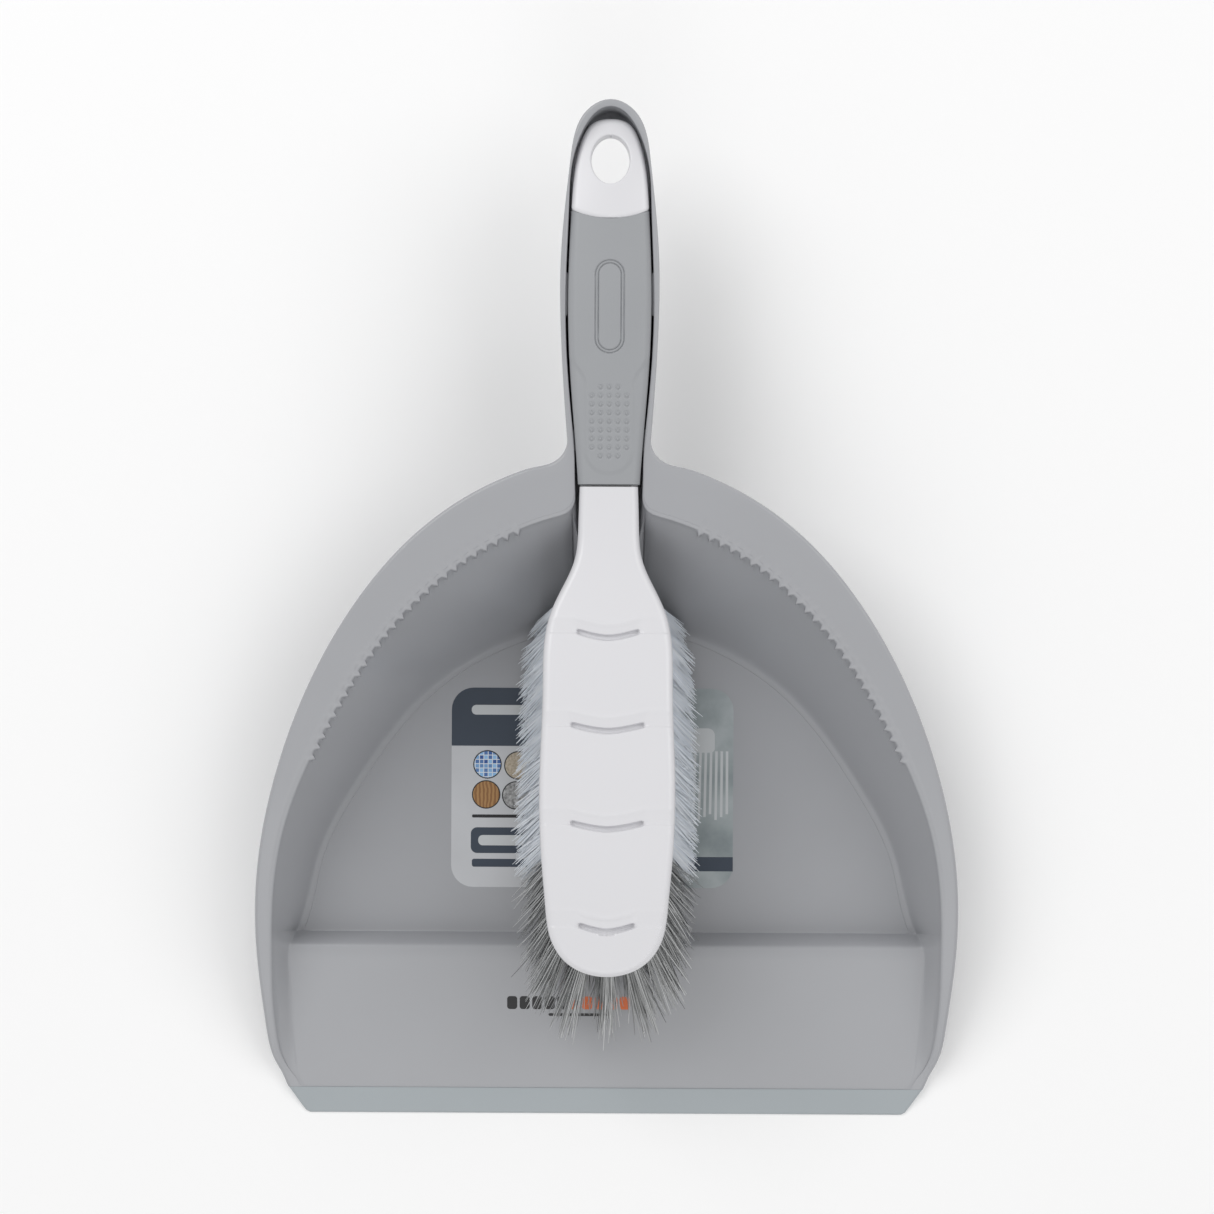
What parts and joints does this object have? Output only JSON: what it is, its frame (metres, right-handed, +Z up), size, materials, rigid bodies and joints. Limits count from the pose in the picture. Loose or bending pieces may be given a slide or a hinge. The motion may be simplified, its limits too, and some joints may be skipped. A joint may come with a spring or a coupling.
{
  "type": "dust pan and brush set",
  "caption": "Dust pan with a rubber lip, combed rim and trough handle; a hand brush clips into the handle and lifts off.",
  "frame": {"origin": "under the middle of the whole set's box, on the surface that the pan stands on", "axes": "+X to the pan's right seen from above with the handle away from the viewer; +Y along the set, from the rubber lip towards the handle's end; +Z up"},
  "size_m": [0.2408, 0.346, 0.0732],
  "materials": {
    "pan_plastic": "smooth moulded polypropylene, soft gloss",
    "lip_rubber": "smooth soft rubber, satin",
    "label_paper": "printed sticker with a satin coat",
    "brush_plastic": "smooth moulded polypropylene, soft gloss",
    "grip_rubber": "smooth soft rubber, satin",
    "bristle_white": "fine bristles, slightly translucent",
    "bristle_grey": "fine bristles",
    "anchor_wire": "flat wire"
  },
  "bodies": {
    "pan": {"pan_body": "pan_plastic", "rubber_lip": "lip_rubber", "label": "label_paper"},
    "brush": {"brush_body": "brush_plastic", "brush_grip": "grip_rubber", "white_tufts_row_01": "bristle_white", "white_tufts_row_02": "bristle_white", "white_tufts_row_03": "bristle_white", "white_tufts_row_04": "bristle_white", "white_tufts_row_05": "bristle_white", "white_tufts_row_06": "bristle_white", "white_tufts_row_07": "bristle_white", "white_tufts_row_08": "bristle_white", "white_tufts_row_09": "bristle_white", "white_tufts_row_10": "bristle_white", "grey_tufts_row_11": "bristle_grey", "grey_tufts_row_12": "bristle_grey", "grey_tufts_row_13": "bristle_grey", "grey_tufts_row_14": "bristle_grey", "grey_tufts_row_15": "bristle_grey", "tuft_anchors": "anchor_wire"}
  },
  "joints": [
    {"name": "brush_lift", "type": "slide", "parent": "pan", "child": "brush", "axis": [0, 0, 1], "range_m": [0, 0.12]}
  ]
}
